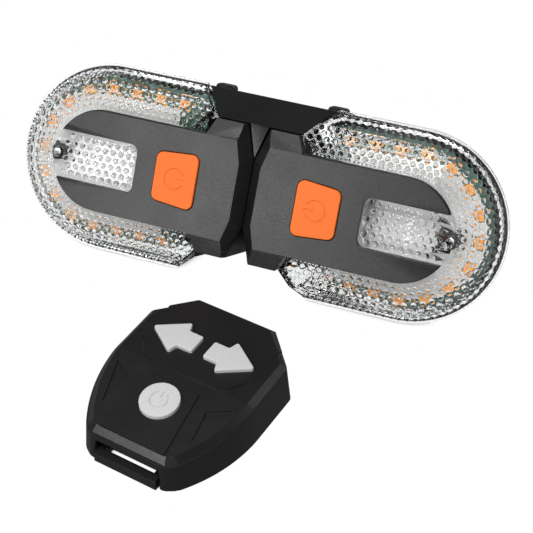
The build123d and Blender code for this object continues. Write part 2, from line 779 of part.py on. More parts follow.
def make_post_clamp():
    high_y = ring_y + ring_len / 2
    clamp = clamp_ring_axis(ring_r)
    clamp += block(ring_bore_r, ear_x, ring_low_y, high_y, -knob_seat, -nut_seat)
    clamp += block(-pad_half_len, pad_half_len, ring_low_y, high_y, -ring_depth + ring_bore_r * 0.7,
                   -plate_back)
    clamp -= clamp_ring_axis(ring_bore_r, ring_len + 2)
    clamp -= block(0, ear_x + 1, ring_low_y - 1, high_y + 1, -ring_depth - split_gap / 2,
                   -ring_depth + split_gap / 2)
    clamp -= rod(clamp_screw_x, ring_y, -knob_seat - 1, -nut_seat + 1, clamp_screw_r + clamp_hole_gap)
    pocket = RegularPolygon(nut_half + nut_gap, 6, major_radius=False)
    clamp -= raised(Pos(clamp_screw_x, ring_y) * pocket, -nut_seat - nut_t, -nut_seat + 1)
    for x in (base_screw_x, -base_screw_x):
        tip = -plate_front - base_head_t - base_screw_len
        clamp -= rod(x, base_screw_y, tip - fit_gap, 0, base_screw_r + clamp_thread_gap)
    return clamp


def make_liner():
    liner = clamp_ring_axis(ring_bore_r) - clamp_ring_axis(post_bore_r, ring_len + 2)
    gap = split_gap / 2
    return liner - block(0, ring_r, ring_low_y - 1, ring_y + ring_len, -ring_depth - gap, -ring_depth + gap)


def make_clamp_screw():
    knob_low = -knob_seat - knob_seat_gap - knob_t
    screw = rod(clamp_screw_x, ring_y, knob_low + 1, -nut_seat + 0.6, clamp_screw_r)
    knob = rod(clamp_screw_x, ring_y, knob_low, knob_low + knob_t, knob_r)
    for step in range(knob_notches):
        turn = 2 * math.pi * step / knob_notches
        knob -= rod(clamp_screw_x + knob_r * math.cos(turn), ring_y + knob_r * math.sin(turn),
                    knob_low - 1, knob_low + knob_t + 1, knob_notch_r)
    return screw + knob


def make_clamp_nut():
    hexagon = RegularPolygon(nut_half, 6, major_radius=False)
    nut = raised(Pos(clamp_screw_x, ring_y) * hexagon, -nut_seat - nut_t, -nut_seat)
    return nut - rod(clamp_screw_x, ring_y, -nut_seat - far, 0, clamp_screw_r + clamp_thread_gap)


def make_base_screws():
    screws = []
    seat = plate_front + base_head_t
    for x in (base_screw_x, -base_screw_x):
        screw = rod(x, base_screw_y, -seat - base_screw_len, -seat, base_screw_r)
        screw += rod(x, base_screw_y, -seat, -plate_front, base_head_r)
        key_hole = extrude(RegularPolygon(1.3, 6), 1, both=True)
        screws.append(screw - Pos(x, base_screw_y, -plate_front) * key_hole)
    return Compound(screws)


# Remote pieces

def remote_outline(inset=0.0):
    corner = (rem_half, rem_corner_y)
    side = (rem_half, rem_side_y)
    right = Polyline((0, rem_nose_y), (rem_nose_half, rem_nose_y), rem_front_corner)
    right += ThreePointArc(rem_front_corner, rem_curve, side)
    right += Polyline(side, corner, (rem_far_half, rem_far_y), (0, rem_far_y))
    face = make_face(Curve() + right + mirror(right, about=Plane.YZ))
    return offset(face, -inset, kind=Kind.INTERSECTION) if inset else face


def deck_z(y):
    """Height of the shell's top at y, level and then down the front slope."""
    return rem_deck_z - max(0.0, rem_slope_y - y) * math.tan(math.radians(rem_slope))


def under_deck(drop=0.0, rise=0.0):
    """Everything below the deck and its front slope."""
    near_y, far_y = rem_nose_y - cut_past, rem_far_y + cut_past
    shift = drop - rise
    side = Polyline((0, far_y, -cut_past), (0, far_y, rem_deck_z - shift), (0, rem_slope_y, rem_deck_z - shift),
                    (0, near_y, deck_z(near_y) - shift), (0, near_y, -cut_past), close=True)
    half = rem_half + cut_past
    return extrude(Pos(-half, 0, 0) * make_face(side), 2 * half, dir=(1, 0, 0))


def plateau_plan():
    """Plan of the raised part round the arrow keys, which runs out past the shell's far end."""
    right = Polyline((0, plateau_front[1]), plateau_front)
    right += ThreePointArc(plateau_front, plateau_turn, plateau_side)
    far_y = rem_far_y + cut_past
    right += Polyline(plateau_side, (plateau_far_half, far_y), (0, far_y))
    return make_face(Curve() + right + mirror(right, about=Plane.YZ))


def panel_plan():
    return [(-panel_top[0], panel_top[1]), panel_top, panel_low, (-panel_low[0], panel_low[1])]


def arrow_outline(grow=0.0):
    points = mirror_y([(arrow_tip, 0), arrow_head, (arrow_neck_x, arrow_shaft_half),
                       (arrow_end_x, arrow_shaft_half)])
    face = flat(points)
    face = fillet(face.vertices(), arrow_round)
    return offset(face, grow) if grow else face


def arrow_prism(grow, low, high):
    return raised(arrow_outline(grow), low, high)


plateau_z = rem_deck_z + plateau_rise
roof_z = rem_deck_z - rem_roof
panel_z = deck_z(power_y) + panel_rise
key_stop_z = rem_pcb_z + rem_pcb_t + rem_switch_body + rem_plunger + key_travel + key_spare
remote_screws_at = [(side * x, y) for x, y in (rem_screw_far, rem_screw_near) for side in (1, -1)]


def eased_lid(top):
    """Wide block with sloped upper edges that follow the shell's outline."""
    low = top - rem_edge
    inset = low * math.tan(math.radians(rem_taper))
    lid = raised(remote_outline(inset), low, top + 0.5, 45)
    return lid + block(-2 * rem_half, 2 * rem_half, 2 * rem_nose_y, 2 * rem_far_y, -rem_half, low)


def shell_form(top):
    return raised(remote_outline(), 0, top + 1, rem_taper) & eased_lid(top)


def make_top_shell():
    hinge = Pos(0, rem_slope_y, rem_deck_z)
    body = shell_form(rem_deck_z) & under_deck()
    body &= hinge * Rot(rem_slope, 0, 0) * hinge.inverse() * eased_lid(rem_deck_z)
    room = raised(remote_outline(rem_wall), 0, rem_deck_z, rem_taper) & under_deck(rem_roof)
    shell = body - room
    shell += raised(plateau_plan(), rem_deck_z - 1, plateau_z, plateau_taper) & shell_form(plateau_z)
    shell += prism(panel_plan(), 5, far) & under_deck(rise=panel_rise) - under_deck(1.0)
    for side in (1, -1):
        facet = prism([(side * x, y) for x, y in (facet_out, facet_in, facet_low)], 0, far)
        shell -= facet & (under_deck(rise=1.0) - under_deck(facet_deep))
    for x, y in remote_screws_at:
        shell += rod(x, y, base_lift + base_t, deck_z(y) - 1.0, rem_boss_r)
        shell -= rod(x, y, 0, base_lift + rem_head_t + rem_screw_len + 0.3, rem_screw_r + screw_hole_gap)
    for side in (1, -1):
        hole = arrow_prism(key_gap, 0, far)
        shell -= hole if side > 0 else mirror(hole, about=Plane.YZ)
    shell -= rod(0, power_y, 0, far, power_r + key_gap)
    shell -= block(-mouth_half, mouth_half, rem_nose_y - 5, rem_nose_y + rem_wall + 1, -1, mouth_top)
    shell -= block(-mouth_half, mouth_half, rem_far_y - rem_wall - 1, rem_far_y + 5, -1, mouth_top)
    return shell


def door_lugs(radius, low, high, arc, turn=0.0):
    """Three bayonet lugs round the door's rim."""
    lugs = []
    for step in range(3):
        half = math.radians(arc / 2)
        reach = 2 * radius
        sector = flat([(0, 0), (reach * math.cos(half), -reach * math.sin(half)),
                       (reach * math.cos(half), reach * math.sin(half))])
        ring = raised(Circle(radius) & sector, 0, high - low)
        lugs.append(Pos(0, cell_y, low) * Rot(0, 0, 120 * step + turn) * ring)
    return lugs


def make_bottom_cover():
    low = base_lift
    high = base_lift + base_t
    cover = raised(remote_outline(rem_wall + key_gap), low, high)
    for end_y, way in ((rem_nose_y, -1), (rem_far_y, 1)):
        ys = sorted((end_y + way * lip_out, end_y - way * (rem_wall + key_gap + 1)))
        cover += block(-mouth_half + key_gap, mouth_half - key_gap, *ys, low, lip_t)
        inner_y = end_y - way * rem_wall
        ys = sorted((inner_y, inner_y - way * strap_slot))
        cover -= block(-strap_slot_half, strap_slot_half, *ys, -1, lip_t + 1)
    cup_r = door_r + lug_out + cup_gap
    cup = rod(0, cell_y, high - 0.1, rem_pcb_z, cup_r + cup_wall) - rod(0, cell_y, 0, far, cup_r)
    cover += cup
    cover -= rod(0, cell_y, -1, high + 0.5, door_r)
    for lug in door_lugs(door_r + lug_out + fit_gap, -1, high, lug_arc + 4, -door_turn):
        cover -= lug
    for x, y in remote_screws_at:
        cover -= rod(x, y, -1, far, rem_screw_r + 2 * screw_hole_gap)
        cover -= rod(x, y, -1, base_lift + rem_head_t, rem_head_r + fit_gap)
    for side in (1, -1):
        x = side * pad_at[0]
        cover -= block(x - pad_wide / 2, x + pad_wide / 2, pad_at[1] - pad_long / 2,
                       pad_at[1] + pad_long / 2, -1, pad_t)
    return cover


def make_remote_pads():
    pads = []
    for side in (1, -1):
        pads.append(Pos(side * pad_at[0], pad_at[1], pad_t / 2) * Box(pad_wide - 0.2, pad_long - 0.2, pad_t))
    return Compound(pads)


def make_door():
    high = base_lift + base_t
    disc_r = door_r - door_gap
    hollow = rod(0, cell_y, 0, far, disc_r - door_rim_w)
    door = rod(0, cell_y, base_lift, high, disc_r)
    door += rod(0, cell_y, high - 0.1, high + door_rim_t + fit_gap, disc_r) - hollow
    for lug in door_lugs(door_r + lug_out, high + fit_gap / 2, high + fit_gap / 2 + lug_t, lug_arc):
        door += lug - hollow
    door -= Pos(0, cell_y, base_lift) * Box(coin_slot_long, coin_slot_w, 2 * coin_slot_deep)
    seat_r = disc_r - door_rim_w - seal_r - fit_gap
    groove = rod(0, cell_y, high - seal_seat, far, seat_r + seal_r + 0.1)
    groove -= rod(0, cell_y, 0, far, seat_r - seal_r - 0.1)
    return door - groove


def make_door_seal():
    high = base_lift + base_t
    seat_r = door_r - door_gap - door_rim_w - seal_r - fit_gap
    return Pos(0, cell_y, high - seal_seat + seal_r) * Torus(seat_r, seal_r)


def make_coin_cell():
    low = base_lift + base_t + cell_lift
    can = rod(0, cell_y, low + 0.4, low + cell_t, cell_r)
    return can + rod(0, cell_y, low, low + 0.5, cell_r - 1.2)


def make_cell_clip():
    top = rem_pcb_z
    low = base_lift + base_t + cell_lift + cell_t / 2
    reach = cell_r + 1.0
    half = clip_wide / 2
    strap = block(-reach, reach, cell_y - half, cell_y + half, top - clip_t, top)
    for side in (1, -1):
        xs = sorted((side * (reach - clip_t), side * reach))
        strap += block(*xs, cell_y - half, cell_y + half, low, top - clip_t / 2)
    return strap


def make_remote_pcb():
    outline = [(-rem_pcb_half, rem_pcb_far_y), (rem_pcb_half, rem_pcb_far_y),
               (rem_pcb_half, rem_pcb_waist_y), (rem_pcb_low_half, rem_pcb_waist_y),
               (rem_pcb_low_half, rem_pcb_low_y), (-rem_pcb_low_half, rem_pcb_low_y),
               (-rem_pcb_low_half, rem_pcb_waist_y), (-rem_pcb_half, rem_pcb_waist_y)]
    return prism(outline, rem_pcb_z, rem_pcb_z + rem_pcb_t)


key_centres = [(-arrow_switch_x, 0), (arrow_switch_x, 0), (0, power_y)]


def make_remote_switches():
    low = rem_pcb_z + rem_pcb_t
    switches = []
    for x, y in key_centres:
        body = Pos(x, y, low + rem_switch_body / 2) * Box(rem_switch, rem_switch, rem_switch_body)
        top = low + rem_switch_body
        switches.append(body + rod(x, y, top - 0.1, top + rem_plunger, rem_switch * 0.25))
    return Compound(switches)


def make_arrow_key():
    flange_top = roof_z - key_gap / 2
    key = arrow_prism(0, flange_top - key_flange_t, plateau_z + key_proud)
    key = fillet(key.faces().sort_by(Axis.Z)[-1].edges(), 0.3)
    key += arrow_prism(key_flange, flange_top - key_flange_t, flange_top)
    return key + rod(arrow_switch_x, 0, key_stop_z, flange_top, key_stem_r)


def make_power_key():
    flange_top = deck_z(power_y - power_r - key_flange) - rem_roof - key_gap
    key = rod(0, power_y, flange_top - key_flange_t, panel_z + key_proud + 3, power_r)
    key &= under_deck(rise=panel_rise + key_proud)
    key = fillet(key.faces().sort_by(Axis.Z)[-1].edges(), 0.3)
    key += rod(0, power_y, flange_top - key_flange_t, flange_top, power_r + key_flange)
    symbol = power_symbol(power_ring_r, power_bar, symbol_w, symbol_open)
    cut = Pos(0, power_y, 0) * raised(symbol, 0, far)
    key -= cut - under_deck(rise=panel_rise + key_proud - symbol_deep)
    return key + rod(0, power_y, key_stop_z, flange_top, key_stem_r)


def make_remote_screws():
    screws = []
    for x, y in remote_screws_at:
        seat = base_lift + rem_head_t
        screw = rod(x, y, seat, seat + rem_screw_len, rem_screw_r) + rod(x, y, base_lift, seat, rem_head_r)
        cross = Box(rem_head_r * 1.2, 0.4, 0.8) + Box(0.4, rem_head_r * 1.2, 0.8)
        screws.append(screw - Pos(x, y, base_lift) * cross)
    return Compound(screws)


# The assembled light leans back until the rim and the clamp ring both touch the floor
lean = 90.0 - math.degrees(math.atan2(ring_back - rim_back, rim_r + ring_low_y))
lift = rim_r * math.cos(math.radians(lean)) + rim_back * math.sin(math.radians(lean))
light_at = Pos(0, 0, lift) * Rot(90 - lean, 0, 0)
remote_at = Pos(*remote_from_face, 0) * Rot(0, 0, remote_turn)

pod_makers = {
    "lens": make_lens, "bezel": make_bezel, "rear_cover": make_cover, "button": make_button,
    "pcb": make_pcb, "amber_leds": make_lamps, "reflector": make_tray,
    "gasket": lambda: rim_ring(gasket_t), "battery": make_battery, "power_switch": make_switch,
    "usb_socket": make_socket, "port_flap": make_flap, "case_screws": make_case_screws,
}
nodes = {}
for name, maker in pod_makers.items():
    right = maker()
    nodes["right_" + name] = light_at * right
    nodes["left_" + name] = light_at * mirror(right, about=Plane.YZ)
latch = make_latch()
nodes["bracket"] = light_at * make_bracket()
nodes["right_latch"] = light_at * latch
nodes["left_latch"] = light_at * mirror(latch, about=Plane.YZ)
nodes["post_clamp"] = light_at * make_post_clamp()
nodes["clamp_liner"] = light_at * make_liner()
nodes["clamp_screw"] = light_at * make_clamp_screw()
nodes["clamp_nut"] = light_at * make_clamp_nut()
nodes["clamp_base_screws"] = light_at * make_base_screws()
arrow = make_arrow_key()
nodes["remote_top_shell"] = remote_at * make_top_shell()
nodes["remote_bottom_cover"] = remote_at * make_bottom_cover()
nodes["right_arrow_key"] = remote_at * arrow
nodes["left_arrow_key"] = remote_at * mirror(arrow, about=Plane.YZ)
nodes["power_key"] = remote_at * make_power_key()
nodes["remote_pcb"] = remote_at * make_remote_pcb()
nodes["remote_switches"] = remote_at * make_remote_switches()
nodes["coin_cell"] = remote_at * make_coin_cell()
nodes["cell_clip"] = remote_at * make_cell_clip()
nodes["battery_door"] = remote_at * make_door()
nodes["door_seal"] = remote_at * make_door_seal()
nodes["remote_screws"] = remote_at * make_remote_screws()
nodes["remote_pads"] = remote_at * make_remote_pads()

# The origin is the centre of the whole set's footprint, on the floor
boxes = [shape.bounding_box() for shape in nodes.values()]
centre_x = (min(b.min.X for b in boxes) + max(b.max.X for b in boxes)) / 2
centre_y = (min(b.min.Y for b in boxes) + max(b.max.Y for b in boxes)) / 2
floor_z = min(b.min.Z for b in boxes)
to_origin = Pos(-centre_x, -centre_y, -floor_z)

for name, shape in nodes.items():
    export_step(to_origin * shape, "parts/" + name + ".step")
print("lean", round(lean, 2), "origin shift", round(-centre_x, 3), round(-centre_y, 3), round(-floor_z, 3))
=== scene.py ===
import json
import math

import bmesh
import bpy
from mathutils import Matrix, Vector


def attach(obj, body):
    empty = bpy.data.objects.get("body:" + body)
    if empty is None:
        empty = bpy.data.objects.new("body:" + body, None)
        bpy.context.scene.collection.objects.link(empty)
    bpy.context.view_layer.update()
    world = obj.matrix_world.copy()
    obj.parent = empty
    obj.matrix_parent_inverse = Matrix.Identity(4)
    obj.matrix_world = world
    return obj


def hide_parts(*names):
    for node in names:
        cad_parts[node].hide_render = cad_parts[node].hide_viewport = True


bl_info = {
    "name": "Bicycle turn signal light",
    "version": (1, 0, 0),
    "blender": (4, 5, 0),
    "location": "View3D > Sidebar > Turn signal",
    "description": "Dresses the paired turn signal pods, their bracket and the hand remote",
    "category": "Object",
}

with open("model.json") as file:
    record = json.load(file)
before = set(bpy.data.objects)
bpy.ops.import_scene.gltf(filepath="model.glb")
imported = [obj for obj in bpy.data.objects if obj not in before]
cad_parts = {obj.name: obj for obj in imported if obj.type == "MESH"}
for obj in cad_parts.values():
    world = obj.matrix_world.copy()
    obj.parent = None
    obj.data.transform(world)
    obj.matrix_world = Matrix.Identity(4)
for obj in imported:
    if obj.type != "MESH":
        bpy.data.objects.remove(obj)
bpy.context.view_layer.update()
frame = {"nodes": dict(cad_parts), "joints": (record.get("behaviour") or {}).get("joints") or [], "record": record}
joints = {joint["name"]: joint for joint in frame["joints"]}
mounts = {mount["name"]: mount for mount in frame["record"]["mounts"]}
slot_of = {part["node"]: part["material_slot"] for part in frame["record"]["subparts"]}
body_of = {node: body for body, nodes in frame["record"]["behaviour"]["bodies"].items() for node in nodes}
SIDES = ("right", "left")
MM = 0.001
WELD = 0.002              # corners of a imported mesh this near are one, in millimetres

# The light's own axes: x along the pair, y up the face, z out of it, with the bezels' front at z = 0
face_out = -Vector(joints["right_button_press"]["axis"])
face_turn = Matrix((Vector((1, 0, 0)), face_out.cross(Vector((1, 0, 0))), face_out)).transposed()
RING_FROM_FACE = Vector((0, 8.0, -46.6)) * MM
face_centre = Vector(mounts["seat_post_clamp"]["pos_m"]) - face_turn @ RING_FROM_FACE
light_at = Matrix.Translation(face_centre) @ face_turn.to_4x4()

# The camera stands where the photograph was taken from, given in the light's own axes
VIEW_TURN = [math.radians(angle) for angle in (12.15, -15.63, -10.27)]
VIEW_PLACE = Vector((-6.7, 21.8, -440.6)) * MM
LENS_LENGTH = 97.5
SENSOR_WIDTH = 36.0


class SignalSizes(bpy.types.PropertyGroup):
    """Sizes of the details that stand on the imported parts"""
    lenslet_pitch: bpy.props.FloatProperty(
        name="Lenslet pitch", description="Distance between the lenslets of the lamp band, in millimetres",
        default=2.6, min=1.5, max=6.0)
    lenslet_radius: bpy.props.FloatProperty(
        name="Lenslet radius", description="Radius of a lenslet where it meets the lens, in millimetres",
        default=0.95, min=0.4, max=2.5)
    lenslet_rise: bpy.props.FloatProperty(
        name="Lenslet rise", description="Height of a lenslet over the lens, in millimetres",
        default=0.85, min=0.1, max=1.5)
    row_pitch: bpy.props.FloatProperty(
        name="Row pitch", description="Distance between the rows of lenslets across the band, in millimetres",
        default=1.74, min=1.0, max=4.0)
    window_pitch: bpy.props.FloatProperty(
        name="Window pitch", description="Distance between the lenslets of the slot window, in millimetres",
        default=2.65, min=1.2, max=5.0)
    prism_pitch: bpy.props.FloatProperty(
        name="Prism pitch", description="Distance between the points of the side wall, in millimetres",
        default=2.45, min=1.0, max=5.0)


class SignalColours(bpy.types.PropertyGroup):
    """Colours that a user would change"""
    button: bpy.props.FloatVectorProperty(
        name="Button", description="Colour of the silicone power buttons", subtype="COLOR",
        size=3, default=(0.83, 0.17, 0.033), min=0.0, max=1.0)
    bezel: bpy.props.FloatVectorProperty(
        name="Bezel", description="Colour of the grained bezels", subtype="COLOR",
        size=3, default=(0.019, 0.019, 0.019), min=0.0, max=1.0)
    case: bpy.props.FloatVectorProperty(
        name="Case", description="Colour of the dark case parts", subtype="COLOR",
        size=3, default=(0.0085, 0.0085, 0.009), min=0.0, max=1.0)
    key: bpy.props.FloatVectorProperty(
        name="Key", description="Colour of the remote's keys", subtype="COLOR",
        size=3, default=(0.5, 0.5, 0.5), min=0.0, max=1.0)


# Materials

SPECK_EDGE = 0.16         # how far the grain rises from no speck to a full one


def group(name, inputs, outputs):
    """An empty shader node group with its sockets, its input node and its output node."""
    tree = bpy.data.node_groups.new(name, "ShaderNodeTree")
    for label, kind, value in inputs:
        socket = tree.interface.new_socket(name=label, in_out="INPUT", socket_type=kind)
        socket.default_value = value
    for label, kind in outputs:
        tree.interface.new_socket(name=label, in_out="OUTPUT", socket_type=kind)
    return tree, tree.nodes.new("NodeGroupInput"), tree.nodes.new("NodeGroupOutput")


def maths(tree, operation, *values):
    """A maths node on numbers or sockets, given as its output socket."""
    node = tree.nodes.new("ShaderNodeMath")
    node.operation = operation
    for socket, value in zip(node.inputs, values):
        if isinstance(value, (int, float)):
            socket.default_value = value
        else:
            tree.links.new(value, socket)
    return node.outputs[0]


def moulded_grain():
    """Fine grain of moulded plastic: a height, and a mask of its high specks."""
    if "Moulded grain" in bpy.data.node_groups:
        return bpy.data.node_groups["Moulded grain"]
    tree, into, out = group(
        "Moulded grain",
        [("Scale", "NodeSocketFloat", 2500.0), ("Specks", "NodeSocketFloat", 0.5)],
        [("Height", "NodeSocketFloat"), ("Specks", "NodeSocketFloat")])
    place = tree.nodes.new("ShaderNodeTexCoord")
    fine = tree.nodes.new("ShaderNodeTexNoise")
    fine.inputs["Detail"].default_value = 2.0
    fine.inputs["Roughness"].default_value = 0.6
    tree.links.new(place.outputs["Object"], fine.inputs["Vector"])
    tree.links.new(into.outputs["Scale"], fine.inputs["Scale"])
    edge = tree.nodes.new("ShaderNodeMapRange")
    edge.inputs["To Min"].default_value = 0.0
    edge.inputs["To Max"].default_value = 1.0
    tree.links.new(fine.outputs["Fac"], edge.inputs["Value"])
    tree.links.new(into.outputs["Specks"], edge.inputs["From Min"])
    tree.links.new(maths(tree, "ADD", into.outputs["Specks"], SPECK_EDGE), edge.inputs["From Max"])
    tree.links.new(fine.outputs["Fac"], out.inputs["Height"])
    tree.links.new(edge.outputs["Result"], out.inputs["Specks"])
    return tree


def soft_wear():
    """Slow change of gloss, as hands and dust leave it."""
    if "Soft wear" in bpy.data.node_groups:
        return bpy.data.node_groups["Soft wear"]
    tree, into, out = group(
        "Soft wear",
        [("Scale", "NodeSocketFloat", 90.0), ("Low", "NodeSocketFloat", 0.4), ("High", "NodeSocketFloat", 0.5)],
        [("Roughness", "NodeSocketFloat")])
    place = tree.nodes.new("ShaderNodeTexCoord")
    slow = tree.nodes.new("ShaderNodeTexNoise")
    slow.inputs["Detail"].default_value = 3.0
    tree.links.new(place.outputs["Object"], slow.inputs["Vector"])
    tree.links.new(into.outputs["Scale"], slow.inputs["Scale"])
    span = tree.nodes.new("ShaderNodeMapRange")
    span.inputs["From Min"].default_value = 0.35
    span.inputs["From Max"].default_value = 0.65
    tree.links.new(slow.outputs["Fac"], span.inputs["Value"])
    tree.links.new(into.outputs["Low"], span.inputs["To Min"])
    tree.links.new(into.outputs["High"], span.inputs["To Max"])
    tree.links.new(span.outputs["Result"], out.inputs["Roughness"])
    return tree


def new_material(name):
    """A material with its node tree and its Principled shader."""
    material = bpy.data.materials.new(name)
    material.use_nodes = True
    tree = material.node_tree
    return material, tree, tree.nodes["Principled BSDF"]


def place_group(tree, made, **values):
    """A node with the group in it, with these values on its sockets."""
    node = tree.nodes.new("ShaderNodeGroup")
    node.node_tree = made
    for label, value in values.items():
        node.inputs[label].default_value = value
    return node


def two_tones(tree, shader, first, second, mask):
    """Mixes two colours by a mask into the shader's colour."""
    tone = tree.nodes.new("ShaderNodeMix")
    tone.data_type = "RGBA"
    tone.inputs["A"].default_value = (*first, 1)
    tone.inputs["B"].default_value = (*second, 1)
    tree.links.new(mask, tone.inputs["Factor"])
    tree.links.new(tone.outputs["Result"], shader.inputs["Base Color"])


def tinted(colour, share):
    """The colour made lighter or darker by a share, no channel over 1."""
    return tuple(min(1.0, channel * share) for channel in colour)


def grained(name, colour, light=None, scale=2500.0, specks=0.5, depth=0.02, rough=(0.45, 0.55), specular=0.5):
    """Moulded plastic or rubber with fine grain, some of it lighter. The depth is in millimetres."""
    material, tree, plastic = new_material(name)
    grain = place_group(tree, moulded_grain(), Scale=scale, Specks=specks)
    wear = place_group(tree, soft_wear(), Low=rough[0], High=rough[1])
    two_tones(tree, plastic, colour, light or tinted(colour, 1.25), grain.outputs["Specks"])
    tree.links.new(wear.outputs["Roughness"], plastic.inputs["Roughness"])
    bump = tree.nodes.new("ShaderNodeBump")
    bump.inputs["Distance"].default_value = depth * MM
    bump.inputs["Strength"].default_value = 1.0
    tree.links.new(grain.outputs["Height"], bump.inputs["Height"])
    tree.links.new(bump.outputs["Normal"], plastic.inputs["Normal"])
    plastic.inputs["Specular IOR Level"].default_value = specular
    return material


def steel(name, colour, rough=(0.25, 0.4)):
    """Plated metal with darker specks and a slow change of gloss."""
    material, tree, metal = new_material(name)
    wear = place_group(tree, soft_wear(), Scale=400.0, Low=rough[0], High=rough[1])
    grain = place_group(tree, moulded_grain(), Scale=1800.0, Specks=0.55)
    two_tones(tree, metal, colour, tinted(colour, 0.8), grain.outputs["Specks"])
    tree.links.new(wear.outputs["Roughness"], metal.inputs["Roughness"])
    metal.inputs["Metallic"].default_value = 1.0
    return material


def clear_plastic():
    """Clear moulded plastic that lets light through to what is behind it."""
    material, tree, lens = new_material("Clear lens")
    lens.inputs["Base Color"].default_value = (0.97, 0.985, 0.985, 1)
    lens.inputs["Roughness"].default_value = 0.03
    lens.inputs["IOR"].default_value = 1.5
    lens.inputs["Transmission Weight"].default_value = 1.0
    path = tree.nodes.new("ShaderNodeLightPath")
    open_air = tree.nodes.new("ShaderNodeBsdfTransparent")
    open_air.inputs["Color"].default_value = (0.93, 0.93, 0.93, 1)
    either = tree.nodes.new("ShaderNodeMixShader")
    passing = maths(tree, "MAXIMUM", path.outputs["Is Shadow Ray"], path.outputs["Is Diffuse Ray"])
    tree.links.new(passing, either.inputs["Fac"])
    tree.links.new(lens.outputs[0], either.inputs[1])
    tree.links.new(open_air.outputs[0], either.inputs[2])
    tree.links.new(either.outputs[0], tree.nodes["Material Output"].inputs["Surface"])
    return material


def board_green():
    """Solder mask with the copper's tracks showing faintly under it."""
    material, tree, mask = new_material("Green board")
    place = tree.nodes.new("ShaderNodeTexCoord")
    tracks = tree.nodes.new("ShaderNodeTexVoronoi")
    tracks.feature = "DISTANCE_TO_EDGE"
    tracks.inputs["Scale"].default_value = 220.0
    tree.links.new(place.outputs["Object"], tracks.inputs["Vector"])
    line = tree.nodes.new("ShaderNodeMapRange")
    line.inputs["From Min"].default_value = 0.04
    line.inputs["From Max"].default_value = 0.07
    tree.links.new(tracks.outputs["Distance"], line.inputs["Value"])
    two_tones(tree, mask, (0.02, 0.095, 0.06), (0.011, 0.06, 0.038), line.outputs["Result"])
    mask.inputs["Roughness"].default_value = 0.3
    return material


def finishes(colours):
    """Every material, by the record's slot."""
    case, bezel = tuple(colours.case), tuple(colours.bezel)
    return {
        "clear_lens": clear_plastic(),
        "bezel_grey": grained("Grained bezel", bezel, light=tinted(bezel, 2.1), scale=2600.0, specks=0.47,
                              depth=0.05, rough=(0.32, 0.36), specular=0.38),
        "case_black": grained("Case black", case, light=tinted(case, 1.5), scale=1500.0, depth=0.012,
                              rough=(0.34, 0.42), specular=0.45),
        "orange_silicone": grained("Orange silicone", tuple(colours.button), scale=3000.0, specks=0.55,
                                   depth=0.006, rough=(0.5, 0.6), specular=0.15),
        "green_board": board_green(),
        "amber_lamp": grained("Amber lamp", (1.0, 0.36, 0.03), light=(1.0, 0.52, 0.1), scale=900.0, depth=0.0,
                              rough=(0.2, 0.3)),
        "white_plastic": grained("White reflector", (0.64, 0.64, 0.63), light=(0.8, 0.8, 0.79), scale=1400.0,
                                 rough=(0.35, 0.5), specular=0.4),
        "black_rubber": grained("Black rubber", (0.012, 0.012, 0.012), light=(0.02, 0.02, 0.02), scale=1200.0,
                                depth=0.03, rough=(0.6, 0.75), specular=0.2),
        "cell_foil": steel("Cell foil", (0.62, 0.63, 0.66), (0.3, 0.45)),
        "switch_grey": grained("Switch grey", (0.05, 0.05, 0.052), scale=2000.0, depth=0.01, rough=(0.4, 0.5)),
        "steel": steel("Plated steel", (0.63, 0.63, 0.65)),
        "remote_black": grained("Remote black", (0.0105, 0.0105, 0.011), light=(0.014, 0.014, 0.0145),
                                scale=1800.0, depth=0.012, rough=(0.3, 0.36)),
        "key_grey": grained("Key grey", tuple(colours.key), specks=0.55, depth=0.006, rough=(0.42, 0.5),
                            specular=0.35),
    }


made_finishes = {}


def finish_for(slot):
    """The slot's material. All of them are made on the first call, in the colours set then."""
    if not made_finishes:
        made_finishes.update(finishes(bpy.context.scene.signal_colours))
    return made_finishes[slot]


# Pieces

FLAT_ANGLE = 0.5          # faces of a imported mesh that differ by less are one, in degrees
UPRIGHT_LENGTH = 4        # shortest upright edge that is rounded as a corner, in millimetres
UPRIGHT_SHARE = 0.98      # and how much of its length goes straight up
CORNER_TURN = 0.2         # and the least turn between its faces, in radians
CORNER_SEGMENTS = 5
# The bezels keep their grained grey on the front and its sloped margins; their faces turned away take case black
# as painted shade
BEZEL_HALF = 15.85        # the bezel's arms end here, and its margins slope from here
BEZEL_FALL = 0.224        # how much they drop for each millimetre outward
BEZEL_FRONT = -0.1        # the grained front is above this, in millimetres
BEZEL_FACING = 0.95       # and faces out of the light by this much
# The bracket's wedge is lighter grey where it faces the front, as painted light
WEDGE_HALF = 3.3          # the bracket's wedge is inside this
WEDGE_TOP = 21.9          # and below this
WEDGE_FACING = 0.9


def merged_copy(node):
    """The node's mesh as a bmesh with its corners welded."""
    bm = bmesh.new()
    bm.from_mesh(frame["nodes"][node].data)
    bmesh.ops.remove_doubles(bm, verts=bm.verts, dist=WELD * MM)
    return bm


def add_piece(name, bm, slot, body):
    """A new object with the bmesh, its slot's material and the body that it rides on."""
    mesh = bpy.data.meshes.new(name)
    bm.to_mesh(mesh)
    bm.free()
    piece = bpy.data.objects.new(name, mesh)
    bpy.context.scene.collection.objects.link(piece)
    mesh.materials.append(finish_for(slot))
    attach(piece, body)
    return piece


def soften(piece, width, angle=30.0, segments=2):
    """Rounds the piece's edges with a live bevel and shades it smooth between them."""
    piece.data.shade_smooth()
    piece.data.set_sharp_from_angle(angle=math.radians(angle))
    bevel = piece.modifiers.new("Rounded edges", "BEVEL")
    bevel.width = width * MM
    bevel.segments = segments
    bevel.limit_method = "ANGLE"
    bevel.angle_limit = math.radians(angle)
    bevel.harden_normals = True
    return piece


